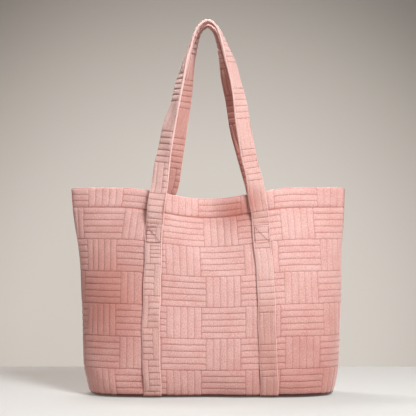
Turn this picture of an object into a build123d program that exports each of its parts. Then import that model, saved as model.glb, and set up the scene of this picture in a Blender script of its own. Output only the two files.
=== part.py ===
from build123d import *

import os
from math import atan2, cos, degrees, pi, radians, sin

# A soft ribbed-terry tote bag with two long shoulder straps.
# Frame: origin at the centre of the base it stands on, +Z up, the front faces -Y,
# +X to the right of the front.
# Millimetres. Every cloth piece is one closed solid of the shape it takes when the bag stands filled.

# Bag body: one row a height, with the half width, the half depth and how square the plan outline is there.
# The plan outline is y = half_depth * (1 - |x / half_width| ** squareness) ** end_shape.
body_levels = [
    (0.0, 205.0, 50.0, 8.0, 0.50),
    (12.0, 210.5, 56.0, 7.0, 0.50),
    (45.0, 218.0, 60.0, 5.5, 0.50),
    (130.0, 222.5, 60.0, 4.0, 0.52),
    (220.0, 225.0, 52.0, 3.0, 0.62),
    (290.0, 229.5, 43.0, 2.4, 0.75),
    (354.0, 235.0, 35.0, 2.0, 0.90),
]
body_height = 354.0
mouth_dip = 18.0
mouth_dip_half_width = 150.0
panel_thickness = 3.0
lining_thickness = 1.0
layer_gap = 0.3
outline_points = 17
clear_of_bag = 300.0

# Hem: the top edge is turned over to the inside and stitched down.
hem_depth = 34.0
hem_thickness = 2.4
hem_stitch_drop = 32.0
hem_below_dip = 5.0
thread_size = 1.0

# Base
board_thickness = 2.0
board_margin = 10.0

# Inner slip pocket on the back lining
pocket_width = 160.0
pocket_low = 150.0
pocket_high = 285.0
pocket_thickness = 1.2

# Straps: one long double-layer band a side, sewn to the panel up to a box stitch and free above it.
strap_width = 30.0
strap_thickness = 4.0
strap_panel_gap = 0.8
leg_bottom = 3.0
leg_top = 291.0
leg_bottom_x = 98.0
leg_top_x = 89.5
loop_bottom = 293.0
box_stitch_height = 30.0
box_stitch_inset = 2.5
hinge_clearance = 3.25

# Free loop of each strap, from the box stitch to the middle of its top: x, y, z of the band's centre line
# and the degrees by which the band has twisted, from lying flat on the panel to lying across its top.
front_loop_route = [
    (89.5, -42.3, 293.0, 7.0),
    (86.5, -41.5, 320.0, 8.0),
    (82.5, -40.0, 352.0, 9.0),
    (73.0, -38.0, 401.0, 14.0),
    (64.0, -34.5, 452.0, 26.0),
    (54.0, -30.5, 503.0, 42.0),
    (44.5, -26.5, 546.0, 56.0),
    (33.0, -22.0, 588.0, 70.0),
    (25.0, -19.5, 609.0, 78.0),
    (17.0, -18.0, 623.5, 84.0),
    (8.5, -17.5, 634.0, 88.0),
    (0.0, -17.5, 638.0, 90.0),
]
back_loop_route = [
    (89.5, -42.3, 293.0, 7.0),
    (86.0, -41.5, 320.0, 8.0),
    (80.0, -40.0, 352.0, 10.0),
    (68.0, -38.0, 401.0, 20.0),
    (57.0, -34.5, 452.0, 34.0),
    (47.0, -30.5, 503.0, 50.0),
    (38.0, -26.5, 546.0, 64.0),
    (28.0, -22.0, 586.0, 76.0),
    (21.5, -19.5, 605.0, 82.0),
    (14.5, -18.0, 618.5, 86.0),
    (7.0, -17.5, 628.0, 89.0),
    (0.0, -17.5, 631.5, 90.0),
]
front = -1.0
back = 1.0

parts = {}


def level_at(height):
    """Half width, half depth, squareness and end shape of the plan outline at a height."""
    for low, high in zip(body_levels, body_levels[1:]):
        if height <= high[0]:
            share = (height - low[0]) / (high[0] - low[0])
            return [a + (b - a) * share for a, b in zip(low[1:], high[1:])]
    return list(body_levels[-1][1:])


def outline(height, inset, side):
    """Points of the front or back half of the plan outline, from the left end to the right end."""
    half_width, half_depth, squareness, end_shape = level_at(height)
    half_width -= inset
    half_depth -= inset
    points = []
    for i in range(outline_points):
        across = sin(pi * (i / (outline_points - 1) - 0.5))
        depth = max(0.0, 1.0 - abs(across) ** squareness) ** end_shape
        points.append((half_width * across, side * half_depth * depth))
    return points


def skin(inset, thickness, low, high, side):
    """A layer of cloth that follows the front or back of the bag, inset from its outer face."""
    heights = [low] + [row[0] for row in body_levels if low < row[0] < high] + [high]
    sections = []
    for height in heights:
        outer = outline(height, inset, side)
        inner = outline(height, inset + thickness, side)
        edges = [
            Spline(*outer),
            Line(outer[-1], inner[-1]),
            Spline(*reversed(inner)),
            Line(inner[0], outer[0]),
        ]
        sections.append(Pos(0, 0, height) * make_face(edges))
    return loft(sections, ruled=True)


def plate(inset, low, thickness):
    """A flat layer that fills the plan outline, for the bottom of the bag."""
    front_points = outline(low, inset, front)
    back_points = outline(low, inset, back)
    edges = [Spline(*front_points), Spline(*reversed(back_points))]
    return extrude(Pos(0, 0, low) * make_face(edges), amount=thickness)


def above_mouth(drop):
    """Everything higher than the dipped top edge of the bag lowered by drop."""
    rim = body_height - drop
    far = clear_of_bag
    top = body_height + clear_of_bag
    edges = [
        Line((-far, rim), (-mouth_dip_half_width, rim)),
        Spline(
            (-mouth_dip_half_width, rim),
            (0, rim - mouth_dip),
            (mouth_dip_half_width, rim),
            tangents=[(1, 0), (1, 0)],
        ),
        Line((mouth_dip_half_width, rim), (far, rim)),
        Polyline((far, rim), (far, top), (-far, top), (-far, rim)),
    ]
    return extrude(Plane.XZ * make_face(edges), amount=far, both=True)


def surface(x, height):
    """Distance of the panel's outer face from the middle plane, and its angle in plan."""
    half_width, half_depth, squareness, end_shape = level_at(height)
    step = 1.0
    depths = []
    for across in (x - step, x, x + step):
        share = 1.0 - abs(across / half_width) ** squareness
        depths.append(half_depth * share**end_shape)
    return depths[1], degrees(atan2(depths[2] - depths[0], 2 * step))


def leg_x(height):
    """The sewn leg's distance from the middle of the panel, which narrows a little upwards."""
    return leg_bottom_x + (leg_top_x - leg_bottom_x) * height / leg_top


def strap_centre(x, height):
    """Distance of the band's centre line from the middle plane where it lies on the panel."""
    return surface(x, height)[0] + strap_panel_gap + strap_thickness / 2


def sewn_leg(side, hand):
    """The sewn stretch of a strap, from the base to the top of its box stitch."""
    bends = [row[0] for row in body_levels if leg_bottom < row[0] < leg_top]
    sections = []
    for height in [leg_bottom] + bends + [leg_top]:
        x = leg_x(height)
        angle = surface(x, height)[1] * side * hand
        place = Pos(hand * x, side * strap_centre(x, height), height) * Rot(0, 0, angle)
        sections.append(place * Rectangle(strap_width, strap_thickness))
    return loft(sections, ruled=True)


def box_stitch(side, hand):
    """The square of thread at the top of a sewn leg, with one slanting row, a little proud of the band."""
    middle = leg_top - box_stitch_height / 2
    x = leg_x(middle)
    reach = strap_width / 2 - box_stitch_inset
    rise = box_stitch_height / 2 - box_stitch_inset
    square = Rectangle(2 * reach, 2 * rise) - Rectangle(2 * (reach - thread_size), 2 * (rise - thread_size))
    diagonal = (reach**2 + rise**2) ** 0.5 * 2 - thread_size
    lean = degrees(atan2(rise, reach))
    square += Rot(0, 0, -lean) * Rectangle(diagonal, thread_size)
    low_face = strap_centre(leg_x(middle - rise), middle - rise)
    high_face = strap_centre(leg_x(middle + rise), middle + rise)
    tilt = degrees(atan2(low_face - high_face, 2 * rise))
    outer_face = (low_face + high_face) / 2 + strap_thickness / 2 + layer_gap
    turn = surface(x, middle)[1] * side * hand
    place = Pos(hand * x, side * outer_face, middle) * Rot(0, 0, turn) * Rot(-side * (90 - tilt), 0, 0)
    return place * extrude(square, amount=thread_size)


def loop_stations(route, side):
    """The whole loop from its right end over the top to its left end: points and twists."""
    right = [(x, -side * y, z, twist) for x, y, z, twist in route]
    left = [(-x, y, z, twist) for x, y, z, twist in reversed(right[:-1])]
    return right + left


def free_loop(route, side):
    """The free stretch of a strap as a band that twists to lie across its top."""
    stations = loop_stations(route, side)
    points = [Vector(*station[:3]) for station in stations]
    across = Vector(0, -side, 0)
    sections = []
    for i, station in enumerate(stations):
        before = points[max(i - 1, 0)]
        after = points[min(i + 1, len(points) - 1)]
        along = (after - before).normalized()
        if i in (0, len(points) - 1):
            along = Vector(0, 0, along.Z).normalized()
        outward = Vector(along.Z, 0, -along.X).normalized()
        twist = radians(station[3])
        width = outward * cos(twist) + across * sin(twist)
        width = (width - along * width.dot(along)).normalized()
        frame = Plane(origin=points[i], x_dir=width, z_dir=along)
        sections.append(frame * Rectangle(strap_width, strap_thickness))
    return loft(sections, ruled=True)


# Outer panels, hems, their stitching and lining, front and back
mouth = above_mouth(0)
hem_zone = above_mouth(hem_depth)
stitch_zone = above_mouth(hem_stitch_drop) - above_mouth(hem_stitch_drop - thread_size)
hem_low = body_height - hem_depth - mouth_dip - hem_below_dip
hem_inset = panel_thickness + layer_gap
lining_inset = hem_inset + hem_thickness + layer_gap
board_low = panel_thickness + layer_gap
base_lining_low = board_low + board_thickness + layer_gap
lining_low = base_lining_low + lining_thickness + layer_gap
for name, side in (("front", front), ("back", back)):
    parts[f"{name}_panel"] = skin(0, panel_thickness, 0, body_height, side) - mouth
    hem = skin(hem_inset, hem_thickness, hem_low, body_height, side)
    parts[f"{name}_hem_facing"] = (hem & hem_zone) - mouth
    thread = skin(-thread_size, thread_size - layer_gap, hem_low, body_height, side)
    parts[f"{name}_hem_stitch"] = thread & stitch_zone
    lining = skin(lining_inset, lining_thickness, lining_low, body_height, side)
    parts[f"{name}_lining"] = lining - above_mouth(hem_depth / 2)

# Bottom of the bag: outer base, stiffening board and lining
parts["base_panel"] = plate(hem_inset, 0, panel_thickness)
parts["base_board"] = plate(lining_inset + board_margin, board_low, board_thickness)
parts["base_lining"] = plate(lining_inset + layer_gap, base_lining_low, lining_thickness)

# Inner slip pocket
pocket_middle = Pos(0, 0, (pocket_low + pocket_high) / 2)
pocket_block = pocket_middle * Box(pocket_width, clear_of_bag, pocket_high - pocket_low)
pocket_inset = lining_inset + lining_thickness + layer_gap
parts["inner_pocket"] = skin(pocket_inset, pocket_thickness, pocket_low, pocket_high, back) & pocket_block

# Straps
for name, side in (("front", front), ("back", back)):
    for hand_name, hand in (("left", -1.0), ("right", 1.0)):
        parts[f"{name}_{hand_name}_strap_leg"] = sewn_leg(side, hand)
        parts[f"{name}_{hand_name}_box_stitch"] = box_stitch(side, hand)
parts["front_handle_loop"] = free_loop(front_loop_route, front)
parts["back_handle_loop"] = free_loop(back_loop_route, back)

os.makedirs("parts", exist_ok=True)
for name, solid in parts.items():
    export_step(solid, f"parts/{name}.step")

hinge_y = strap_centre(leg_top_x, leg_top) + strap_thickness / 2 + hinge_clearance
print(f"hinge line of each handle: y = {hinge_y:.2f}, z = {(leg_top + loop_bottom) / 2:.2f}")
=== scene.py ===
import math

import bpy
import numpy as np
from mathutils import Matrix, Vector


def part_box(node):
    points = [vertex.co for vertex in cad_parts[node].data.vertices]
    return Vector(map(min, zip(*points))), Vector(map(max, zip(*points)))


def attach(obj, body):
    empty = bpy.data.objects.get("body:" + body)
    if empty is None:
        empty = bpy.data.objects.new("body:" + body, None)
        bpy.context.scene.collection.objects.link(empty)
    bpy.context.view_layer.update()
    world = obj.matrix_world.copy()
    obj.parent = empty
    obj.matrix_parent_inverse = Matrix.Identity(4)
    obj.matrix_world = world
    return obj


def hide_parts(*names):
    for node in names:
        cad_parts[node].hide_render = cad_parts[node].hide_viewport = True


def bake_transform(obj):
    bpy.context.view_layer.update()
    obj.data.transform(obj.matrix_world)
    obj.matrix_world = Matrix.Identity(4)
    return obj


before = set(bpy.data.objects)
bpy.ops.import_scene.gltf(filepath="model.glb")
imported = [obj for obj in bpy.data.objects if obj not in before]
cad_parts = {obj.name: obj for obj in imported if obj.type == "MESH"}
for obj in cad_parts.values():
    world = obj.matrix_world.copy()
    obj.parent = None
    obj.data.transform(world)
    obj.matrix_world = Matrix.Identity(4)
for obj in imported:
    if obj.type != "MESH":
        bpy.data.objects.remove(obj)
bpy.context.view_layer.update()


# Outer cloth, front half. A thick cotton velour woven in raised ribs: blocks of five lying ribs and blocks
# of five standing ribs that take turns like a basket. It is cut in one with the hem, which turns over the
# mouth and runs down the inside, and it is sewn to the back half up the sides and to the base all round.
mouth_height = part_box("front_panel")[1].z
cloth_half_width = 0.240
hem_fold_radius = 0.003
foot_radius = 0.005
hem_line = 0.3240
hem_inside = 0.032
under_base = 0.014

rib_count = 5
rib_pitch = 0.01085
rib_relief = 0.0012
rib_squareness = 5
rib_lean = 0.25
rib_end_round = 0.0024
rib_wander = 0.00012
row_height = rib_count * rib_pitch
half_repeat = 0.0663
standing_width = 0.0580
lying_width = 2 * half_repeat - standing_width
lying_centre = 0.0200
first_row_short = 0.0017
left_cut_shift = 0.012
standing_floor = 0.2
hem_seam_width = 0.0022
hem_seam_pinch = 0.0013
roll_below_hem = 0.0006
side_seam_width = 0.0030
side_seam_pinch = 0.0010
rib_steps = np.array([0.0, 0.05, 0.13, 0.32, 0.68, 0.87, 0.95])

# Height above the table, then the half width, half depth, squareness and end shape of the bag's plan there
# and how far the bag leans to the right.
plan_heights = np.array([0.0, 0.012, 0.028, 0.048, 0.080, 0.130, 0.175, 0.220, 0.262, 0.290, 0.322, 0.354])
plan_half_width = np.array(
    [0.2060, 0.2105, 0.2142, 0.2180, 0.2200, 0.2218, 0.2240, 0.2256, 0.2288, 0.2320, 0.2345, 0.2362]
)
plan_half_depth = np.array(
    [0.048, 0.054, 0.058, 0.0605, 0.062, 0.061, 0.058, 0.054, 0.049, 0.0455, 0.041, 0.037]
)
plan_squareness = np.array([7.0, 6.5, 6.0, 5.2, 4.6, 4.0, 3.6, 3.2, 2.8, 2.5, 2.3, 2.2])
plan_end_shape = np.array([0.50, 0.50, 0.51, 0.52, 0.54, 0.58, 0.62, 0.68, 0.74, 0.80, 0.85, 0.90])
plan_lean = np.array(
    [0.0064, 0.006, 0.006, 0.0056, 0.0056, 0.0060, 0.0058, 0.0050, 0.0032, 0.0018, 0.0006, 0.0]
)
mouth_dip = 0.0192
mouth_dip_reach = 0.156
mouth_hollow = 0.020
strap_pull = 0.006
pull_starts = 0.19
slack_ends = 0.12
box_stitch_top = 0.291
strap_heights = np.array([0.0, 0.18, 0.27, 0.291, 0.354])
strap_half_spacing = np.array([0.0985, 0.0958, 0.0908, 0.0895, 0.0820])
strap_shift = np.array([0.0044, 0.0010, 0.0, -0.0004, -0.0018])
strap_at_mouth = strap_half_spacing[-1]


def flowing(places, values, at):
    """A smooth curve through the values, read at each place asked for."""
    slopes = np.gradient(values, places)
    at = np.clip(at, places[0], places[-1])
    i = np.clip(np.searchsorted(places, at) - 1, 0, len(places) - 2)
    gap = places[i + 1] - places[i]
    t = (at - places[i]) / gap
    start = (1 + 2 * t) * (1 - t) ** 2 * values[i] + t * (1 - t) ** 2 * gap * slopes[i]
    end = t * t * (3 - 2 * t) * values[i + 1] + t * t * (t - 1) * gap * slopes[i + 1]
    return start + end


def swell(at, centre, reach):
    """A soft hump of height one."""
    return np.exp(-(((at - centre) / reach) ** 2))


def top_pull(height):
    """How strongly the straps and the slack mouth shape the cloth, from 0 low down to 1 at the mouth."""
    return np.clip((height - pull_starts) / (mouth_height - pull_starts), 0, 1) ** 1.5


def slack(x, height, side):
    """How far the mouth's slack and the straps' pull push the cloth out from its plain plan outline."""
    pull = top_pull(height)
    inward = mouth_hollow * (swell(x, -0.002, 0.042) + 0.2 * swell(x, -0.135, 0.040))
    outward = strap_pull * (swell(x, -strap_at_mouth, 0.018) + swell(x, strap_at_mouth, 0.016))
    sag = 0.0016 * np.sin(31 * x + 19 * height + 0.9 * side) * np.sin(23 * height - 8 * x + 1.3)
    ripple = 0.0008 * np.sin(74 * x - 21 * height + 2.0 * side) * np.sin(47 * height + 0.6)
    crumple = 0.0022 * swell(height, 0.024, 0.020) * np.sin(61 * x + 0.8 * side)
    return pull * (outward - inward) + sag + ripple + crumple


def mouth_drop(x, height):
    """How far the cloth hangs down between the straps: most at the mouth, hardly at the base."""
    across = 0.5 + 0.5 * np.cos(np.pi * np.clip(x / mouth_dip_reach, -1, 1))
    share = flowing(
        np.array([0.0, 0.03, 0.10, 0.20, 0.27, 0.32, 0.354]),
        np.array([0.0, 0.10, 0.20, 0.42, 0.70, 0.92, 1.0]),
        height,
    )
    return mouth_dip * across * share


def strap_place(height):
    """Where the left and the right sewn leg of a strap lie across the bag at a height."""
    spacing = flowing(strap_heights, strap_half_spacing, height)
    shift = flowing(strap_heights, strap_shift, height)
    return shift - spacing, shift + spacing


def plan_depth(x, height, inset, side):
    """Half depth of the bag at a distance across and a height."""
    half_width = flowing(plan_heights, plan_half_width, height) - inset
    half_depth = flowing(plan_heights, plan_half_depth, height) - inset
    share = 1 - np.minimum(np.abs(x / half_width), 1) ** flowing(plan_heights, plan_squareness, height)
    plain = half_depth * share ** flowing(plan_heights, plan_end_shape, height)
    inside_ends = np.clip((1 - np.abs(x / half_width)) / slack_ends, 0, 1)
    return plain + inside_ends * slack(x, height, side)


def bag_face(across, heights, insets, side):
    """Points of the cloth: one row for each height and inset, one column for each distance across it."""
    rows = []
    spread = np.sin(np.linspace(-0.5, 0.5, 601) * np.pi)
    row_places = np.broadcast_to(across, (len(heights), np.shape(across)[-1]))
    for row_across, height, inset in zip(row_places, heights, insets):
        half_width = flowing(plan_heights, plan_half_width, height) - inset
        x = half_width * spread
        y = plan_depth(x, height, inset, side)
        steps = np.hypot(np.diff(x), np.diff(y))
        along = np.concatenate([[0], np.cumsum(steps)])
        along -= along[len(along) // 2]
        share = row_across / cloth_half_width
        ease = np.where(share < 0, along[0] + cloth_half_width, along[-1] - cloth_half_width)
        target = row_across + ease * np.abs(share) ** 3
        across_x = np.interp(target, along, x)
        depth = np.interp(target, along, y)
        drop = mouth_drop(across_x, height)
        lean = flowing(plan_heights, plan_lean, height)
        rows.append(np.stack([across_x + lean, side * depth, height - drop], axis=-1))
    return np.array(rows)


def ribs(across, along):
    """Height of the woven ribs, from 0 in a groove to 1 on a rib, at places on the flat cloth."""
    along = along + first_row_short
    row = np.floor(along / row_height + 1e-6)
    up = along - row * row_height
    shift = np.where(row % 2 == 0, 0.0, half_repeat)
    over = np.mod(across - lying_centre - shift + lying_width / 2 + 1e-7, 2 * half_repeat)
    lying = over < lying_width
    phase = np.where(lying, up / rib_pitch, (over - lying_width) / (standing_width / rib_count)) % 1
    to_end = np.where(lying, np.minimum(over, lying_width - over), np.minimum(up, row_height - up))
    from_crest = 2 * phase - 1
    crown = (1 - np.abs(from_crest) ** rib_squareness) * (1 - rib_lean * from_crest)
    crown = np.where(lying, crown, standing_floor + (1 - standing_floor) * crown)
    rounded_end = 1 - (1 - np.clip(to_end / rib_end_round, 0, 1)) ** 2
    return crown * rounded_end


def cut_shift(across, along):
    """How far the weave is shifted beside the left edge of the cloth: more low down than at the hem."""
    beside = np.clip((-0.085 - across) / 0.030, 0, 1)
    return left_cut_shift * beside * np.clip((0.335 - along) / 0.075, 0, 1)


def cloth_columns(half_width):
    """Distances across the cloth that fall on every standing rib's edges and crown."""
    first = lying_centre + lying_width / 2 - 6 * half_repeat
    pitch = standing_width / rib_count
    between = half_repeat - standing_width
    places = []
    for block in range(12):
        start = first + block * half_repeat
        places += [start + (rib + step) * pitch for rib in range(rib_count) for step in rib_steps]
        places += [start + standing_width + between * k / 5 for k in range(5)]
    inner = [place for place in places if abs(place) < half_width - 0.0006]
    return np.array([-half_width] + inner + [half_width])


def painted_shade_at(across, along):
    """Painted shade from 0 to 1 at places on the cloth; above 1 is a painted contact shadow along the base.
    """
    # Painted shade on the left side, low down, on the lower right, at the right edge and in the mouth's
    # hollow beside the right strap; the last term paints the contact shadow where the bag meets the table.
    left_side_shade = 0.84 * swell(across, -0.185, 0.080) * swell(along, 0.160, 0.110)
    foot = 0.34 * swell(along, 0.0, 0.045)
    right_side_shade = 0.42 * swell(across, 0.155, 0.100) * swell(along, 0.070, 0.110)
    right_edge_shade = 0.24 * swell(across, 0.225, 0.040)
    hem_hollow_shade = swell(across, 0.050, 0.036) * swell(along, 0.332, 0.026)
    base_contact_shadow = 2.0 * np.clip((0.0110 - along) / 0.004, 0, 1)
    return np.clip(left_side_shade + foot + right_side_shade + right_edge_shade + hem_hollow_shade, 0, 1) + base_contact_shadow


def new_piece(name, points, faces):
    """A mesh piece made of points and faces, put in the scene."""
    mesh = bpy.data.meshes.new(name)
    mesh.from_pydata(points, [], faces)
    piece = bpy.data.objects.new(name, mesh)
    bpy.context.scene.collection.objects.link(piece)
    return piece


def cloth_piece(name, points, place, painted_shade=None):
    """A grid of points as one smooth sheet that remembers where each point is on the flat cloth."""
    rows, columns = points.shape[:2]
    index = np.arange(rows * columns).reshape(rows, columns)
    corners = [index[:-1, :-1], index[:-1, 1:], index[1:, 1:], index[1:, :-1]]
    faces = np.stack(corners, axis=-1).reshape(-1, 4)
    piece = new_piece(name, points.reshape(-1, 3).tolist(), faces.tolist())
    keep_on_cloth(piece.data, place, painted_shade)
    return piece


def keep_on_cloth(mesh, place, painted_shade=None):
    """Stores each point's place on the flat cloth, and how much painted shade it carries."""
    kept = mesh.attributes.new("cloth_place", "FLOAT_VECTOR", "POINT")
    kept.data.foreach_set("vector", place.reshape(-1).astype(np.float32))
    if painted_shade is not None:
        kept = mesh.attributes.new("painted_shade", "FLOAT", "POINT")
        kept.data.foreach_set("value", painted_shade.reshape(-1).astype(np.float32))
    mesh.polygons.foreach_set("use_smooth", [True] * len(mesh.polygons))


def facing_out(points, out):
    """Unit normals of a grid of points, on the side that out points to."""
    over = np.gradient(points, axis=1)
    up = np.gradient(points, axis=0)
    normal = np.cross(over, up)
    normal /= np.linalg.norm(normal, axis=-1, keepdims=True) + 1e-12
    return normal * out


def outer_half(name, side):
    """One half of the outer cloth, from under the base, up the bag, over the mouth and down inside."""
    columns = cloth_columns(cloth_half_width)
    roll = math.pi * hem_fold_radius
    foot = foot_radius * math.pi / 2
    straight_top = foot + mouth_height - hem_fold_radius - foot_radius
    end = straight_top + roll + hem_inside
    ribs_up = range(int(end / rib_pitch) + 2)
    rib_rows = [(rib + step) * rib_pitch - first_row_short for rib in ribs_up for step in rib_steps]
    rows = np.array(
        list(np.linspace(-under_base, -0.0015, 9)) + [row for row in rib_rows if 0 <= row < end] + [end]
    )
    turn = np.clip(rows / foot_radius, 0, math.pi / 2)
    over = np.clip((rows - straight_top) / hem_fold_radius, 0, math.pi)
    heights = foot_radius * (1 - np.cos(turn)) + np.clip(rows - foot, 0, straight_top - foot)
    heights += hem_fold_radius * np.sin(over) - np.clip(rows - straight_top - roll, 0, None)
    insets = foot_radius * (1 - np.sin(turn)) + np.clip(-rows, 0, None)
    insets += hem_fold_radius * (1 - np.cos(over))
    woven, along = np.meshgrid(columns, rows)
    end_share = np.clip(woven / -cloth_half_width, 0, 1) ** 6
    across = woven - cut_shift(woven, along) * (1 - end_share)
    points = bag_face(across, heights, insets, side)
    normal = facing_out(points, -side)
    between_sides = 1 - (across / cloth_half_width) ** 8
    points[..., 0] += rib_wander * np.sin(330 * along + 4 * np.sin(90 * across)) * between_sides
    points[..., 2] += rib_wander * np.sin(290 * across + 4 * np.sin(80 * along)) * (along > foot)
    uneven = np.sin(210 * across + 170 * along) * np.sin(260 * along - 120 * across)
    relief = ribs(woven, along) * (1 + 0.12 * uneven)
    sewn_x = strap_place(along)
    from_strap = np.minimum(np.abs(points[..., 0] - sewn_x[0]), np.abs(points[..., 0] - sewn_x[1]))
    pressed = np.clip((0.0165 - from_strap) / 0.002, 0, 1) * (along < box_stitch_top)
    hem_pinch = swell(along, hem_line, hem_seam_width) * (1 - 0.6 * (across / cloth_half_width) ** 4)
    side_seam = swell(np.abs(across), cloth_half_width, side_seam_width)
    # Lower relief also paints shade through the groove colour: along the hem line, the side seams, under and
    # just beside the straps, and in the bottom 6 mm as a painted contact shadow.
    relief *= (1 - 0.75 * pressed) * (1 - 0.9 * hem_pinch) * (1 - side_seam)
    relief *= np.clip((along - 0.006) / 0.003, 0, 1)
    lift = rib_relief * relief - hem_seam_pinch * hem_pinch - side_seam_pinch * side_seam
    lift += roll_below_hem * swell(along, hem_line - 0.0050, 0.0034)
    points = points + normal * lift[..., None]
    points[..., 2] = np.maximum(points[..., 2], 0.0004)
    place = np.stack([woven, along, relief], axis=-1)
    # Painted shade, and a painted contact shadow along the base, for this half of the cloth.
    painted_shade = painted_shade_at(across, along)
    if side > 0:
        points, place, painted_shade = points[:, ::-1], place[:, ::-1], painted_shade[:, ::-1]
    return cloth_piece(name, points, place, painted_shade)


def place_of_cloth(nodes, links):
    """Where each point is on the flat cloth, and how high its rib is there, as two outputs."""
    reader = nodes.new("ShaderNodeAttribute")
    reader.attribute_name = "cloth_place"
    split = nodes.new("ShaderNodeSeparateXYZ")
    links.new(reader.outputs["Vector"], split.inputs[0])
    return reader.outputs["Vector"], split.outputs["Z"]


def new_material(name):
    """An empty surface: its material, nodes and links, and the shader that they feed."""
    material = bpy.data.materials.new(name)
    material.use_nodes = True
    tree = material.node_tree
    return material, tree.nodes, tree.links, tree.nodes["Principled BSDF"]


def two_tones(nodes, links, mask, low, high, low_at=0.0, high_at=1.0):
    """A colour that goes from low to high as a mask goes from low_at to high_at."""
    tone = nodes.new("ShaderNodeValToRGB")
    for element, place, colour in zip(tone.color_ramp.elements, (low_at, high_at), (low, high)):
        element.position = place
        element.color = (*colour, 1)
    links.new(mask, tone.inputs["Fac"])
    return tone.outputs["Color"]


def levels(nodes, links, value, low, high, start=0.0, end=1.0):
    """A value moved from the range start to end into the range low to high."""
    moved = nodes.new("ShaderNodeMapRange")
    for name, level in (("From Min", start), ("From Max", end), ("To Min", low), ("To Max", high)):
        moved.inputs[name].default_value = level
    links.new(value, moved.inputs["Value"])
    return moved


def stained(nodes, links, colour, stain, amount, way="MIX"):
    """A colour covered with a stain, or multiplied by it, as far as amount says."""
    mix = nodes.new("ShaderNodeMix")
    mix.data_type = "RGBA"
    mix.blend_type = way
    mix.inputs["B"].default_value = (*stain, 1)
    links.new(amount, mix.inputs["Factor"])
    links.new(colour, mix.inputs["A"])
    return mix.outputs["Result"]


def raise_surface(nodes, links, shader, height, strength, distance):
    """Bumps the shader's surface by a height."""
    bump = nodes.new("ShaderNodeBump")
    bump.inputs["Strength"].default_value = strength
    bump.inputs["Distance"].default_value = distance
    links.new(height, bump.inputs["Height"])
    links.new(bump.outputs["Normal"], shader.inputs["Normal"])


def new_group(name, inputs, outputs):
    """An empty shader group: the group, its nodes and links, and its way in and way out."""
    group = bpy.data.node_groups.new(name, "ShaderNodeTree")
    for socket, kind in inputs:
        group.interface.new_socket(socket, in_out="INPUT", socket_type=kind)
    for socket in outputs:
        group.interface.new_socket(socket, in_out="OUTPUT", socket_type="NodeSocketFloat")
    nodes = group.nodes
    return group, nodes, group.links, nodes.new("NodeGroupInput"), nodes.new("NodeGroupOutput")


def make_velour_nap():
    """Short cut pile: fine loops, streaks where it lies over, slow patches of light and dark, and masks for
    painted groove shade and a painted edge highlight.
    """
    inputs = [("Place", "NodeSocketVector"), ("Rib", "NodeSocketFloat"), ("Depth", "NodeSocketFloat")]
    outputs = ["Tone", "Height", "Groove Shade", "Edge Highlight"]
    group, nodes, links, entry, leave = new_group("velour_nap", inputs, outputs)

    def noise(scale, stretch, detail):
        spot = nodes.new("ShaderNodeVectorMath")
        spot.operation = "MULTIPLY"
        spot.inputs[1].default_value = stretch
        links.new(entry.outputs["Place"], spot.inputs[0])
        texture = nodes.new("ShaderNodeTexNoise")
        texture.inputs["Scale"].default_value = scale
        texture.inputs["Detail"].default_value = detail
        texture.inputs["Roughness"].default_value = 0.65
        links.new(spot.outputs[0], texture.inputs["Vector"])
        return texture.outputs["Fac"]

    def product(a, b):
        node = nodes.new("ShaderNodeMath")
        node.operation = "MULTIPLY"
        links.new(a, node.inputs[0])
        if isinstance(b, float):
            node.inputs[1].default_value = b
        else:
            links.new(b, node.inputs[1])
        return node.outputs[0]

    def weighed(parts):
        """The sum of several textures, each with its weight."""
        total = product(*parts[0])
        for texture, weight in parts[1:]:
            node = nodes.new("ShaderNodeMath")
            node.operation = "ADD"
            links.new(total, node.inputs[0])
            links.new(product(texture, weight), node.inputs[1])
            total = node.outputs[0]
        return total

    loops = noise(900, (1, 1, 0), 1)
    tufts = noise(430, (1.3, 0.8, 0), 1)
    streaks = noise(160, (3.0, 0.35, 0), 3)
    patches = noise(26, (1, 1, 0), 2)
    tone = weighed([(loops, 0.30), (tufts, 0.35), (streaks, 0.15), (patches, 0.20)])
    links.new(tone, leave.inputs["Tone"])
    links.new(weighed([(loops, 0.5), (tufts, 0.8), (streaks, 0.3)]), leave.inputs["Height"])
    # Painted shade in the grooves, where the rib is low, and a painted highlight where the rib value is
    # above 1.2, as on the straps' folded edges.
    groove_shade = levels(nodes, links, entry.outputs["Rib"], 1.0, 0.0, 0.0, 0.55)
    groove_shade.interpolation_type = "SMOOTHSTEP"
    links.new(product(groove_shade.outputs[0], entry.outputs["Depth"]), leave.inputs["Groove Shade"])
    edge_highlight = levels(nodes, links, entry.outputs["Rib"], 0.0, 1.0, 1.2, 1.8)
    links.new(edge_highlight.outputs[0], leave.inputs["Edge Highlight"])
    return group


velour_nap = make_velour_nap()
# Painted light on the velour: a pale painted highlight for folded edges, a tint that paints shade, and a
# near black that paints the contact shadow at the base.
edge_highlight_colour = (0.80, 0.54, 0.51)
painted_shade_colour = (0.70, 0.44, 0.38)
contact_shadow_colour = (0.060, 0.008, 0.005)


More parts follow.
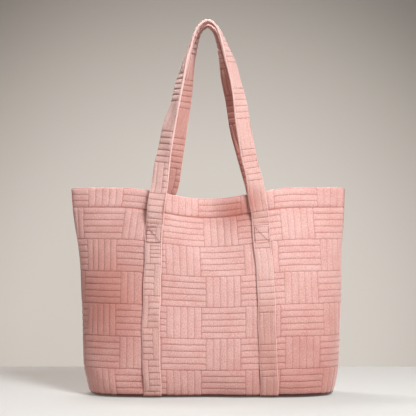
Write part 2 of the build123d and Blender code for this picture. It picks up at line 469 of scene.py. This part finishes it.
def velour(name, pile_colour, deep_colour, groove_shade_colour, groove_shade_strength):
    """Matte pink velour: paler where the pile stands, with painted shade in its grooves and patches, a
    painted contact shadow and a painted edge highlight.
    """
    material, nodes, links, shader = new_material(name)
    place, rib = place_of_cloth(nodes, links)
    nap = nodes.new("ShaderNodeGroup")
    nap.node_tree = velour_nap
    nap.inputs["Depth"].default_value = groove_shade_strength
    links.new(place, nap.inputs["Place"])
    links.new(rib, nap.inputs["Rib"])
    reader = nodes.new("ShaderNodeAttribute")
    reader.attribute_name = "painted_shade"
    painted_shade = reader.outputs["Fac"]
    # Painted shade from the stored value, and a painted contact shadow where it goes above 1.
    in_contact_shadow = levels(nodes, links, painted_shade, 0.0, 1.0, 1.0, 1.9).outputs[0]
    colour = two_tones(nodes, links, nap.outputs["Tone"], deep_colour, pile_colour, 0.40, 0.60)
    colour = stained(nodes, links, colour, groove_shade_colour, nap.outputs["Groove Shade"])
    colour = stained(nodes, links, colour, painted_shade_colour, painted_shade, "MULTIPLY")
    colour = stained(nodes, links, colour, contact_shadow_colour, in_contact_shadow)
    colour = stained(nodes, links, colour, edge_highlight_colour, nap.outputs["Edge Highlight"])
    links.new(colour, shader.inputs["Base Color"])
    rough = levels(nodes, links, nap.outputs["Tone"], 0.82, 0.98)
    links.new(rough.outputs[0], shader.inputs["Roughness"])
    raise_surface(nodes, links, shader, nap.outputs["Height"], 0.7, 0.0009)
    shader.inputs["Specular IOR Level"].default_value = 0.15
    shader.inputs["Sheen Weight"].default_value = 0.7
    shader.inputs["Sheen Roughness"].default_value = 0.5
    shader.inputs["Sheen Tint"].default_value = (1.0, 0.90, 0.88, 1)
    return material


# Pile, deeper pile, then the colour and strength of the painted shade in the grooves.
pink_velour = velour("pink_velour", (0.80, 0.52, 0.49), (0.64, 0.31, 0.28), (0.42, 0.12, 0.10), 0.70)

front_cloth = outer_half("front_cloth", -1)
front_cloth.data.materials.append(pink_velour)
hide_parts("front_panel", "front_hem_facing")
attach(front_cloth, "bag")

# Outer cloth, back half: the same cotton velour, cut, hem and weave as the front half. It is sewn to the
# front half up both sides and to the base along its foot.
back_cloth = outer_half("back_cloth", 1)
back_cloth.data.materials.append(pink_velour)
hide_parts("back_panel", "back_hem_facing")
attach(back_cloth, "bag")


# Base of the bag: a flat piece of the same cotton velour that closes the bottom. It is cut round at its ends
# and sewn to both halves all round, and its ribs are pressed down by the load.
def base_sheet(name):
    insets = np.linspace(foot_radius + 0.006, 0.046, 30)
    columns = np.linspace(-cloth_half_width, cloth_half_width, 240)
    zero = np.zeros_like(insets)
    front_rows = bag_face(columns, zero, insets, -1)
    back_rows = bag_face(columns, zero, insets, 1)
    points = np.concatenate([front_rows, back_rows[::-1]])[::-1]
    across, along = points[..., 0], points[..., 1]
    relief = ribs(across, along + row_height)
    points[..., 2] = 0.0012 - 0.0006 * relief
    return cloth_piece(name, points, np.stack([across, along, relief], axis=-1))


base_cloth = base_sheet("base_cloth")
base_cloth.data.materials.append(pink_velour)
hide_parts("base_panel")
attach(base_cloth, "bag")


# Hem stitching: one row of matching cotton thread round the bag, through the bag and the turned hem. Each
# stitch is a short arch of twisted thread that pulls the pile down into a groove.
thread_radius = 0.00042
hem_stitch_sunk = 0.0014


def stitch_row(name, route, out, length, gap, radius):
    """A row of stitches along a route of close points that each know which way is out of the cloth."""
    steps = np.linalg.norm(np.diff(route, axis=0), axis=1)
    along = np.concatenate([[0], np.cumsum(steps)])
    count = int((along[-1] - gap) / (length + gap))
    middles = (np.arange(count) + 0.5) * along[-1] / count
    reach = np.array([-0.5, -0.42, -0.2, 0.0, 0.2, 0.42, 0.5]) * length
    arch = np.array([-1.2, -0.2, 0.25, 0.4, 0.25, -0.2, -1.2]) * radius
    girth = np.array([0.45, 0.9, 1.0, 1.0, 1.0, 0.9, 0.45]) * radius
    sides = 6
    angles = np.arange(sides) * 2 * math.pi / sides
    at = middles[:, None] + reach[None, :]
    centre = np.stack([np.interp(at, along, route[:, k]) for k in range(3)], axis=-1)
    up = np.stack([np.interp(at, along, out[:, k]) for k in range(3)], axis=-1)
    up /= np.linalg.norm(up, axis=-1, keepdims=True)
    forward = np.gradient(centre, axis=1)
    forward /= np.linalg.norm(forward, axis=-1, keepdims=True)
    beside = np.cross(up, forward)
    centre = centre + up * arch[None, :, None]
    ring = beside[:, :, None] * np.cos(angles)[:, None] + up[:, :, None] * np.sin(angles)[:, None]
    points = centre[:, :, None] + ring * girth[None, :, None, None]
    rings = len(reach)
    index = np.arange(count * rings * sides).reshape(count, rings, sides)
    turned = np.roll(index, -1, axis=2)
    corners = [index[:, :-1], index[:, 1:], turned[:, 1:], turned[:, :-1]]
    faces = np.stack(corners, axis=-1).reshape(-1, 4).tolist()
    faces += index[:, 0].tolist() + index[:, -1, ::-1].tolist()
    place = np.empty(points.shape)
    place[..., 0] = at[:, :, None]
    place[..., 1] = angles[None, None, :] * radius
    place[..., 2] = 1
    piece = new_piece(name, points.reshape(-1, 3).tolist(), faces)
    keep_on_cloth(piece.data, place)
    return piece


def cotton_thread(name, colour):
    """Two-ply cotton thread: its plies show as slanted ridges."""
    material, nodes, links, shader = new_material(name)
    place, _ = place_of_cloth(nodes, links)
    plies = nodes.new("ShaderNodeTexWave")
    plies.inputs["Scale"].default_value = 700
    plies.inputs["Distortion"].default_value = 0.6
    plies.bands_direction = "DIAGONAL"
    links.new(place, plies.inputs["Vector"])
    ridges = plies.outputs["Fac"]
    # Painted shade between the plies.
    shade_between_plies = [0.72 * part for part in colour]
    links.new(two_tones(nodes, links, ridges, shade_between_plies, colour), shader.inputs["Base Color"])
    links.new(levels(nodes, links, ridges, 0.62, 0.5).outputs[0], shader.inputs["Roughness"])
    raise_surface(nodes, links, shader, ridges, 0.4, 0.0002)
    return material


pink_thread = cotton_thread("pink_thread", (0.52, 0.20, 0.17))


def hem_stitching(name, side):
    """One half's row of hem stitches, from one side seam to the other."""
    columns = np.linspace(-cloth_half_width + 0.003, cloth_half_width - 0.003, 400)
    height = foot_radius + hem_line - foot_radius * math.pi / 2
    rows = bag_face(columns, height + np.array([-0.002, 0.0, 0.002]), np.zeros(3), side)
    out = facing_out(rows, -side)[1]
    route = rows[1] - out * hem_stitch_sunk
    piece = stitch_row(name, route, out, length=0.0036, gap=0.0014, radius=thread_radius)
    piece.data.materials.append(pink_thread)
    return piece


for side_name, side in (("front", -1), ("back", 1)):
    hem_thread = hem_stitching(f"{side_name}_hem_thread", side)
    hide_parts(f"{side_name}_hem_stitch")
    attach(hem_thread, "bag")


# Base board: a sheet of pale pressed board that keeps the bottom flat. Nothing fixes it: it lies loose
# between the base and the floor of the lining.
def pressed_board(name):
    """Matte board with faint fibres and a soft surface."""
    material, nodes, links, shader = new_material(name)
    spot = nodes.new("ShaderNodeTexCoord")
    texture = nodes.new("ShaderNodeTexNoise")
    texture.inputs["Scale"].default_value = 220
    texture.inputs["Detail"].default_value = 4
    links.new(spot.outputs["Object"], texture.inputs["Vector"])
    fibres = texture.outputs["Fac"]
    colour = two_tones(nodes, links, fibres, (0.50, 0.47, 0.41), (0.66, 0.63, 0.57))
    links.new(colour, shader.inputs["Base Color"])
    shader.inputs["Roughness"].default_value = 0.8
    raise_surface(nodes, links, shader, fibres, 0.2, 0.0003)
    return material


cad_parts["base_board"].material_slots[0].material = pressed_board("pale_board")


# Lining: thin plain-woven cotton in a deeper pink, in two halves that each take in half of the floor over
# the board. They are sewn to each other up the sides and held at the top under the hem.
lining_floor = 0.0078
lining_inset = 0.0080
lining_tucked = 0.0050
lining_bend = 0.008
lining_top = mouth_height - 0.018


def lining_half(name, side):
    """One half of the lining: out over the floor, round the bend at the foot and up the wall."""
    floor = np.linspace(0.047, lining_inset + lining_bend, 14)
    bend = np.linspace(0, math.pi / 2, 6)[1:]
    walls = np.linspace(lining_floor + 0.010, lining_top, 110)
    bend_heights = lining_floor + lining_bend * (1 - np.cos(bend))
    heights = np.concatenate([np.full(len(floor), lining_floor), bend_heights, walls])
    tuck = np.clip((walls - 0.285) / 0.02, 0, 1)
    wall_insets = lining_inset + (lining_tucked - lining_inset) * tuck
    insets = np.concatenate([floor, lining_inset + lining_bend * (1 - np.sin(bend)), wall_insets])
    columns = np.linspace(-cloth_half_width, cloth_half_width, 180)
    points = bag_face(columns, heights, insets, side)
    steps = np.hypot(np.diff(heights), np.diff(insets))
    across, along = np.meshgrid(columns, np.concatenate([[0], np.cumsum(steps)]))
    inside = facing_out(points, side)
    loose = 0.0009 * np.sin(95 * across + 31 * along) * np.sin(52 * along - 12 * across)
    loose *= np.clip((0.28 - along) / 0.05, 0, 1) * np.clip(along / 0.06, 0, 1)
    points = points + inside * loose[..., None]
    if side < 0:
        points, across, along = points[:, ::-1], across[:, ::-1], along[:, ::-1]
    return cloth_piece(name, points, np.stack([across, along, np.ones_like(across)], axis=-1))


def make_plain_weave():
    """Over-and-under weave of fine yarns with a little unevenness from yarn to yarn."""
    inputs = [("Place", "NodeSocketVector"), ("Yarns", "NodeSocketFloat")]
    group, nodes, links, entry, leave = new_group("plain_weave", inputs, ["Yarn Height", "Shade"])
    scaled = nodes.new("ShaderNodeVectorMath")
    scaled.operation = "SCALE"
    links.new(entry.outputs["Place"], scaled.inputs[0])
    links.new(entry.outputs["Yarns"], scaled.inputs["Scale"])
    waves = []
    for direction in ("X", "Y"):
        wave = nodes.new("ShaderNodeTexWave")
        wave.bands_direction = direction
        wave.inputs["Scale"].default_value = 1
        wave.inputs["Distortion"].default_value = 0.8
        wave.inputs["Detail"].default_value = 1
        links.new(scaled.outputs[0], wave.inputs["Vector"])
        waves.append(wave)
    over = nodes.new("ShaderNodeMath")
    over.operation = "MAXIMUM"
    links.new(waves[0].outputs["Fac"], over.inputs[0])
    links.new(waves[1].outputs["Fac"], over.inputs[1])
    links.new(over.outputs[0], leave.inputs["Yarn Height"])
    uneven = nodes.new("ShaderNodeTexNoise")
    uneven.inputs["Scale"].default_value = 60
    uneven.inputs["Detail"].default_value = 3
    links.new(entry.outputs["Place"], uneven.inputs["Vector"])
    shade = nodes.new("ShaderNodeMath")
    shade.operation = "MULTIPLY"
    links.new(uneven.outputs["Fac"], shade.inputs[0])
    links.new(over.outputs[0], shade.inputs[1])
    links.new(shade.outputs[0], leave.inputs["Shade"])
    return group


plain_weave = make_plain_weave()


def woven_cotton(name, light, dark, yarns):
    """Plain-woven cotton, paler where a yarn lies on top; yarns says how fine the weave is."""
    material, nodes, links, shader = new_material(name)
    place, _ = place_of_cloth(nodes, links)
    weave = nodes.new("ShaderNodeGroup")
    weave.node_tree = plain_weave
    weave.inputs["Yarns"].default_value = yarns
    links.new(place, weave.inputs["Place"])
    # The colour paints shade between the yarns, mixed with random unevenness.
    colour = two_tones(nodes, links, weave.outputs["Shade"], dark, light, 0.15, 0.6)
    links.new(colour, shader.inputs["Base Color"])
    yarn_height = weave.outputs["Yarn Height"]
    links.new(levels(nodes, links, yarn_height, 0.72, 0.88).outputs[0], shader.inputs["Roughness"])
    shader.inputs["Specular IOR Level"].default_value = 0.3
    raise_surface(nodes, links, shader, yarn_height, 0.35, 0.0002)
    return material


lining_cotton = woven_cotton("lining_cotton", (0.56, 0.25, 0.22), (0.40, 0.15, 0.13), 9000)
front_lining = lining_half("front_lining_cloth", -1)
back_lining = lining_half("back_lining_cloth", 1)
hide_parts("front_lining", "base_lining")
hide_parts("back_lining", "base_lining")
for lining in (front_lining, back_lining):
    lining.data.materials.append(lining_cotton)
    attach(lining, "bag")


# Slip pocket: a patch of the lining cotton with its top edge turned in. It is sewn to the back lining along
# both sides and its foot, and open at the top.
pocket_low, pocket_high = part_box("inner_pocket")
pocket_inset = lining_inset + 0.0012
pocket_slack = 0.0024
pocket_turn = 0.012


def pocket_patch(name):
    """The pocket's patch, from its foot up to its mouth and over into the turned edge."""
    half = pocket_high.x
    columns = np.linspace(-half, half, 90)
    heights = np.linspace(pocket_low.z, pocket_high.z, 76)
    rows = np.concatenate([heights, pocket_high.z - np.array([0.0, 0.0008, 0.006, pocket_turn])])
    turned_insets = pocket_inset + np.array([0.0004, 0.0, 0.0, 0.0])
    insets = np.concatenate([np.full(len(heights), pocket_inset + 0.0012), turned_insets])
    points = bag_face(columns, rows, insets, 1)
    across, along = np.meshgrid(columns, rows)
    edge = np.minimum(half - np.abs(across), along - pocket_low.z)
    loose = pocket_slack * np.clip((along - pocket_low.z) / 0.1, 0, 1) * (1 - (across / half) ** 2)
    points[..., 1] += 0.0012 * (1 - np.clip(edge / 0.002, 0, 1)) - loose
    return cloth_piece(name, points, np.stack([across, along, np.ones_like(across)], axis=-1))


pocket = pocket_patch("pocket_patch")
pocket.data.materials.append(lining_cotton)
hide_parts("inner_pocket")
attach(pocket, "bag")


# Straps: one long band a side, of the ribbed velour folded double and topstitched along both edges. Each
# starts in the base seam and runs up the bag, sewn flat, to a box stitch. From there it stands free, goes
# over the shoulder, and comes down again the same way on the other side.
strap_half_width = 0.015
strap_half_thickness = 0.0017
strap_edge = 0.0015
strap_rest = 0.0007
strap_columns = 37
strap_rows = 23
strap_weave_spare = 0.081
topstitch_in = 0.0026
# Painted shade on the straps: over the inner face, deeper to the right, and on the curled right edge of the
# left leg above the box stitch.
inner_face_shade = [0.55, 0.95]
curled_edge_shade = 0.8
bend_crease = box_stitch_top + 0.004
crease_reach = 0.0012

# Free stretch, from the box stitch up: across, out from the middle plane, height, and degrees of twist.
front_left_free = [
    (-0.0893, 0.0465, 0.300, 8), (-0.0880, 0.0490, 0.316, 8), (-0.0862, 0.0465, 0.333, 6),
    (-0.0838, 0.0425, 0.352, 12), (-0.0800, 0.0400, 0.378, 22), (-0.0762, 0.0380, 0.401, 31),
    (-0.0668, 0.0345, 0.452, 43), (-0.0545, 0.0305, 0.503, 60), (-0.0450, 0.0265, 0.546, 70),
    (-0.0330, 0.0220, 0.588, 82), (-0.0245, 0.0195, 0.612, 88), (-0.0150, 0.0180, 0.628, 90),
]
front_top = (0.0, 0.0175, 0.638, 90)
front_right_free = [
    (0.0885, 0.0462, 0.300, 8), (0.0868, 0.0480, 0.316, 6), (0.0835, 0.0460, 0.333, 2),
    (0.0803, 0.0425, 0.352, 10), (0.0756, 0.0400, 0.378, 24), (0.0705, 0.0380, 0.401, 28),
    (0.0618, 0.0345, 0.452, 30), (0.0530, 0.0305, 0.503, 42), (0.0442, 0.0265, 0.546, 55),
    (0.0328, 0.0220, 0.588, 64), (0.0250, 0.0195, 0.609, 76), (0.0140, 0.0180, 0.629, 88),
]
back_left_free = [
    (-0.0880, 0.0462, 0.300, 8), (-0.0845, 0.0480, 0.316, 8), (-0.0790, 0.0460, 0.333, 8),
    (-0.0690, 0.0425, 0.352, 12), (-0.0625, 0.0400, 0.378, 16), (-0.0585, 0.0380, 0.401, 20),
    (-0.0500, 0.0345, 0.452, 30), (-0.0410, 0.0305, 0.503, 44), (-0.0345, 0.0265, 0.546, 58),
    (-0.0262, 0.0220, 0.590, 74), (-0.0205, 0.0195, 0.610, 82), (-0.0120, 0.0180, 0.6275, 88),
]
back_top = (0.0, 0.0175, 0.6355, 90)
back_right_free = [
    (0.0890, 0.0462, 0.300, 8), (0.0875, 0.0480, 0.316, 8), (0.0845, 0.0460, 0.333, 8),
    (0.0800, 0.0425, 0.352, 12), (0.0735, 0.0400, 0.378, 18), (0.0675, 0.0380, 0.401, 24),
    (0.0525, 0.0345, 0.452, 36), (0.0410, 0.0305, 0.503, 48), (0.0310, 0.0265, 0.546, 62),
    (0.0235, 0.0220, 0.590, 74), (0.0185, 0.0195, 0.610, 82), (0.0110, 0.0180, 0.6275, 88),
]


def sewn_leg(hand, side):
    """Stations of a leg where it is sewn down, from the base up to the box stitch."""
    stations = []
    for height in np.linspace(0.0035, box_stitch_top - 0.004, 13):
        x = strap_place(height)[hand]
        face = height + mouth_drop(x, height)
        lean = flowing(plan_heights, plan_lean, face)
        depths = [plan_depth(x - lean + step, face, 0, side) for step in (-0.006, 0.0, 0.006)]
        turned = math.degrees(math.atan2(abs(depths[2] - depths[0]), 0.012))
        stations.append((x, depths[1] + strap_rest + strap_half_thickness, height, turned))
    return stations


def strap_line(left_free, top, right_free, side):
    """The strap's middle line: close points with the twist at each, and their distances along it."""
    right_down = (sewn_leg(1, side) + right_free)[::-1]
    stations = np.array(sewn_leg(0, side) + left_free + [top] + right_down)
    stations[:, 1] *= side
    chord = np.concatenate([[0], np.cumsum(np.linalg.norm(np.diff(stations[:, :3], axis=0), axis=1))])
    fine = np.linspace(0, chord[-1], 3000)
    line = np.stack([flowing(chord, stations[:, k], fine) for k in range(4)], axis=-1)
    along = np.concatenate([[0], np.cumsum(np.linalg.norm(np.diff(line[:, :3], axis=0), axis=1))])
    return line, along


def strap_frames(line, along, at, side):
    """At each distance along the strap: its point, the way out of its face and the way across it."""
    points = np.stack([np.interp(at, along, line[:, k]) for k in range(3)], axis=-1)
    twist = np.radians(np.interp(at, along, line[:, 3]))
    forward = np.gradient(points, at, axis=0)
    forward /= np.linalg.norm(forward, axis=1, keepdims=True)
    away = np.stack([-forward[:, 2], np.zeros(len(at)), forward[:, 0]], axis=-1)
    away /= np.linalg.norm(away, axis=1, keepdims=True)
    out = np.array([0.0, side, 0.0]) * np.cos(twist)[:, None] + away * np.sin(twist)[:, None]
    out -= forward * np.sum(out * forward, axis=1, keepdims=True)
    out /= np.linalg.norm(out, axis=1, keepdims=True)
    over = np.cross(out, forward) * side
    return points, out, over


def weave_take_up(at):
    """How much weave is eased in up to a distance along the strap: at both box stitches and over the top."""
    distances = [0.235, 0.295, 0.52, 0.80, 1.01, 1.07]
    eased_in = [-0.010, 0.031, 0.031, 0.071, 0.071, 0.061]
    return np.interp(at, distances, eased_in)


def strap_band(name, line, along, side):
    """The band itself: a rounded flat tube with the cloth's ribs on both faces and a topstitched edge."""
    total = along[-1]
    row = (total - strap_weave_spare) / strap_rows
    pitch = row / rib_count
    start = 0.001 - row
    even = np.linspace(0, total, 4000)
    taken_up = even + weave_take_up(even)
    ribs_up = range(int(total / pitch) + 18)
    rib_edges = np.array([start + (rib + step) * pitch for rib in ribs_up for step in rib_steps])
    at = np.interp(rib_edges - first_row_short * row / row_height, taken_up, even)
    at = np.concatenate([[0.0], at[(at > 0.0006) & (at < total - 0.0006)], [total]])
    points, out, over = strap_frames(line, along, at, side)
    flat = np.linspace(-strap_half_width + strap_edge, strap_half_width - strap_edge, strap_columns)
    corner = np.linspace(math.pi / 2, -math.pi / 2, 7)[1:-1]
    edge_over = strap_half_width - strap_edge + strap_edge * np.cos(corner)
    ring_over = np.concatenate([flat, edge_over, flat[::-1], -edge_over[::-1]])
    edge_out = strap_half_thickness * np.sin(corner)
    facing = np.concatenate([np.ones(strap_columns), np.zeros(5), -np.ones(strap_columns), np.zeros(5)])
    nothing = np.zeros(strap_columns)
    ring_out = facing * strap_half_thickness + np.concatenate([nothing, edge_out, nothing, edge_out[::-1]])
    grain = np.interp(at, [0.287, 0.290, 0.40, 0.50], [-0.0325, 0.024, 0.024, 0.0])
    across, place = np.meshgrid(ring_over, at)
    on_cloth = across + grain[:, None]
    relief = ribs_at_row(on_cloth, place + weave_take_up(place) - start, row)
    # Near the edges the faces lose their ribs, which paints shade along the margins through the groove
    # colour.
    inner = np.clip((strap_half_width - np.abs(across)) / 0.0035, 0, 1)
    stitched = swell(np.abs(across), strap_half_width - topstitch_in, 0.0009)
    soft = 0.0005 * np.sin(88 * place + 120 * across) + 0.0004 * np.sin(41 * place)
    crease = swell(points[:, 2], bend_crease, crease_reach)[:, None]
    lift = facing * (rib_relief * relief * inner - 0.0007 * stitched) + soft
    lift -= 0.0009 * crease * (facing > 0)
    wander = 0.0007 * np.sin(37 * place + 1.0) + 0.0004 * np.sin(91 * place)
    body = points[:, None] + over[:, None] * (across + wander)[..., None]
    body = body + out[:, None] * (ring_out[None, :] + lift)[..., None]
    rings, sides = across.shape
    index = np.arange(rings * sides).reshape(rings, sides)
    turned = np.roll(index, -1, axis=1)
    faces = np.stack([index[:-1], index[1:], turned[1:], turned[:-1]], axis=-1).reshape(-1, 4).tolist()
    faces += [index[0].tolist(), index[-1, ::-1].tolist()]
    # The edges carry 1.6, which paints a highlight along the folds; the faces carry their rib height, which
    # paints groove shade.
    shown = np.where(facing == 0, 1.6, relief)
    where = np.stack([on_cloth + 0.05 * (facing < 0), place, shown], axis=-1)
    x = body[..., 0]
    z = body[..., 2]
    # Painted shade on the outer face: the bag's painted shade and contact shadow where the strap lies, more
    # about 10 cm up, some on the lit free stretch on the right, on the left leg's curled edge and in the
    # bend crease; the inner face is all painted shade.
    shade_as_bag = painted_shade_at(np.maximum(x, -0.05), z + 0.0045) + 0.20 * swell(z, 0.10, 0.06)
    lit_strap_shade = 0.15 * (x > 0) * (z > bend_crease)
    shaded_edge = curled_edge_shade * (across * -side > 0.0105) * swell(z, 0.320, 0.020) * (x < 0)
    crease_shade = 0.6 * swell(z, bend_crease, crease_reach)
    inside = np.interp(x, [-0.05, 0.02], inner_face_shade)
    painted_shade = np.where(facing < 0, inside, shade_as_bag + lit_strap_shade + shaded_edge + crease_shade)
    piece = new_piece(name, body.reshape(-1, 3).tolist(), faces)
    keep_on_cloth(piece.data, where, painted_shade)
    return piece


def ribs_at_row(across, along, row):
    """The woven ribs, stretched a little so that whole rows fit the strap."""
    return ribs(across + lying_centre, along * row_height / row + row_height)


def strap_topstitching(name, line, along, side):
    """Two rows of thread down the outer face, one inside each edge."""
    at = np.linspace(0.001, along[-1] - 0.001, 1400)
    points, out, over = strap_frames(line, along, at, side)
    reach = strap_half_width - topstitch_in
    rows = []
    for hand in (-1, 1):
        route = points + over * hand * reach + out * (strap_half_thickness - 0.0003)
        row_name = f"{name}_{hand + 1}"
        rows.append(stitch_row(row_name, route, out, length=0.0030, gap=0.0013, radius=0.00034))
    return rows


# A copy of the velour for the straps: painted shade tones its red down under the strong key light, and its
# grooves get deeper painted shade.
shaded_strap_velour = velour("shaded_strap_velour", (0.77, 0.525, 0.49), (0.635, 0.335, 0.30), (0.38, 0.10, 0.08), 0.80)
straps = {
    "front": (front_left_free, front_top, front_right_free, -1),
    "back": (back_left_free, back_top, back_right_free, 1),
}
strap_lines = {}
for side_name, (left_free, top, right_free, side) in straps.items():
    line, along = strap_line(left_free, top, right_free, side)
    strap_lines[side_name] = (line, along, side)
    band = strap_band(f"{side_name}_strap", line, along, side)
    band.data.materials.append(shaded_strap_velour)
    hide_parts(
        f"{side_name}_left_strap_leg", f"{side_name}_right_strap_leg", f"{side_name}_handle_loop"
    )
    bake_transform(band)
    for thread in strap_topstitching(f"{side_name}_strap_thread", line, along, side):
        thread.data.materials.append(pink_thread)
        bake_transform(thread)


# Box stitches: matching cotton thread sewn through strap and bag. Where each leg's sewn stretch ends, a
# square of stitches with one slanting row across it holds the leg down.
box_half_width = 0.0120
box_low = box_stitch_top - 0.030
box_high = box_stitch_top - 0.003


def box_stitch(name, side_name, hand):
    """The thread of one box stitch: once round the square, then one row slantwise across it."""
    line, along, side = strap_lines[side_name]
    half = len(line) // 2
    heights = line[:half, 2] if hand == 0 else line[half:, 2][::-1]
    distances = along[:half] if hand == 0 else along[half:][::-1]
    low = np.interp(box_low, heights, distances)
    high = np.interp(box_high, heights, distances)
    reach = box_half_width * side * (-1 if hand == 0 else 1)
    corners = [(-reach, high), (reach, high), (reach, low), (-reach, low), (-reach, high), (reach, low)]
    places = []
    for (over_a, at_a), (over_b, at_b) in zip(corners, corners[1:]):
        share = np.linspace(0, 1, 24, endpoint=False)
        places += [(over_a + (over_b - over_a) * t, at_a + (at_b - at_a) * t) for t in share]
    places = np.array(places)
    distinct = np.unique(places[:, 1])
    points, out, over = strap_frames(line, along, distinct, side)
    spot = np.searchsorted(distinct, places[:, 1])
    route = points[spot] + over[spot] * places[:, :1] + out[spot] * (strap_half_thickness + 0.0012)
    return stitch_row(name, route, out[spot], length=0.0030, gap=0.0008, radius=0.00046)


for side_name in ("front", "back"):
    for hand, hand_name in enumerate(("left", "right")):
        box_thread = box_stitch(f"{side_name}_{hand_name}_box_thread", side_name, hand)
        box_thread.data.materials.append(pink_thread)
        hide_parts(f"{side_name}_{hand_name}_box_stitch")
        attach(box_thread, "bag")


# Studio: a pale table top with a grey wall close behind it, one big soft light from the right and front, a
# weak fill from the left, a small lamp high behind the bag, and a level camera a little below its mouth. The
# table and the wall glow with painted light: the wall darker towards its top and sides, the table fading
# off.
wall_distance = 0.38
camera_distance = 2.20
camera_height = 0.3196
view_width = 0.7072


def plain_board(name, corners, colour, shading_centre, shading_scale, stops):
    """A plain matte board with painted light: it glows, less away from one place, and is clear from behind.
    """
    piece = new_piece(name, corners, [(0, 1, 2, 3)])
    material, nodes, links, shader = new_material(name)
    shader.inputs["Roughness"].default_value = 0.9
    shader.inputs["Specular IOR Level"].default_value = 0.1
    spot = nodes.new("ShaderNodeTexCoord")
    offset = nodes.new("ShaderNodeMapping")
    offset.vector_type = "TEXTURE"
    offset.inputs["Location"].default_value = shading_centre
    offset.inputs["Scale"].default_value = shading_scale
    reach = nodes.new("ShaderNodeVectorMath")
    reach.operation = "LENGTH"
    shade = nodes.new("ShaderNodeValToRGB")
    shade.color_ramp.interpolation = "B_SPLINE"
    while len(shade.color_ramp.elements) < len(stops):
        shade.color_ramp.elements.new(0.5)
    for element, (place, glow) in zip(shade.color_ramp.elements, stops):
        element.position = place
        element.color = (*glow, 1)
    links.new(spot.outputs["Object"], offset.inputs["Vector"])
    links.new(offset.outputs[0], reach.inputs[0])
    links.new(reach.outputs["Value"], shade.inputs["Fac"])
    shader.inputs["Base Color"].default_value = (*colour, 1)
    links.new(shade.outputs["Color"], shader.inputs["Emission Color"])
    shader.inputs["Emission Strength"].default_value = 1
    side = nodes.new("ShaderNodeNewGeometry")
    clear = nodes.new("ShaderNodeBsdfTransparent")
    blend = nodes.new("ShaderNodeMixShader")
    links.new(side.outputs["Backfacing"], blend.inputs["Fac"])
    links.new(shader.outputs["BSDF"], blend.inputs[1])
    links.new(clear.outputs["BSDF"], blend.inputs[2])
    links.new(blend.outputs["Shader"], nodes["Material Output"].inputs["Surface"])
    piece.data.materials.append(material)


# Painted light: the table glows evenly in front and fades towards the wall; the wall's glow paints a
# falloff, darker towards its top and sides.
table_painted_glow = [(0.881, (0.25, 0.24, 0.225)), (0.9405, (0.25, 0.24, 0.225)), (1.0, (0.01, 0.0, 0.0))]
wall_painted_glow = [
    (0.34, (0.60, 0.55, 0.495)),
    (0.49, (0.49, 0.44, 0.395)),
    (0.66, (0.31, 0.27, 0.23)),
    (0.84, (0.06, 0.04, 0.03)),
]
room = 9
plain_board(
    "table",
    [(-room, -room, 0), (room, -room, 0), (room, room, 0), (-room, room, 0)],
    colour=(0.50, 0.49, 0.48),
    shading_centre=(0, -8.0, 0),
    shading_scale=(1e6, 8.4, 1),
    stops=table_painted_glow,
)
plain_board(
    "wall",
    [(x, wall_distance, z) for x, z in ((-room, 0), (room, 0), (room, room), (-room, room))],
    colour=(0.07, 0.07, 0.07),
    shading_centre=(-0.03, wall_distance, 0.05),
    shading_scale=(1, 1, 1),
    stops=wall_painted_glow,
)


def soft_light(name, place, aim, size, power, colour):
    """A round soft lamp at a place, turned to what it is aimed at."""
    data = bpy.data.lights.new(name, "AREA")
    data.shape = "DISK"
    data.size = size
    data.energy = power
    data.color = colour
    lamp = bpy.data.objects.new(name, data)
    lamp.location = place
    lamp.rotation_euler = (Vector(aim) - Vector(place)).to_track_quat("-Z", "Y").to_euler()
    bpy.context.scene.collection.objects.link(lamp)


soft_light("key_light", (0.75, -1.30, 1.62), (0, 0, 0.25), size=0.7, power=47, colour=(0.94, 1.0, 1.0))
soft_light("fill_light", (-2.2, -2.0, 1.2), (0, 0, 0.25), size=1.6, power=3, colour=(1.0, 0.60, 0.48))
soft_light("back_light", (-0.25, 0.35, 1.35), (0, 0.05, 0.20), size=0.5, power=14, colour=(1.0, 0.95, 0.93))
sky = bpy.data.worlds.new("room")
bpy.context.scene.world = sky
sky.use_nodes = True
sky.node_tree.nodes["Background"].inputs["Color"].default_value = (1.0, 0.80, 0.72, 1)
sky.node_tree.nodes["Background"].inputs["Strength"].default_value = 0.15

camera_data = bpy.data.cameras.new("camera")
camera_data.sensor_width = 36
camera_data.lens = 36 * camera_distance / view_width
camera = bpy.data.objects.new("camera", camera_data)
camera.location = (0, -camera_distance - 0.03, camera_height)
camera.rotation_euler = (math.pi / 2, 0, 0)
bpy.context.scene.collection.objects.link(camera)
bpy.context.scene.camera = camera
bpy.context.scene.view_settings.view_transform = "Standard"
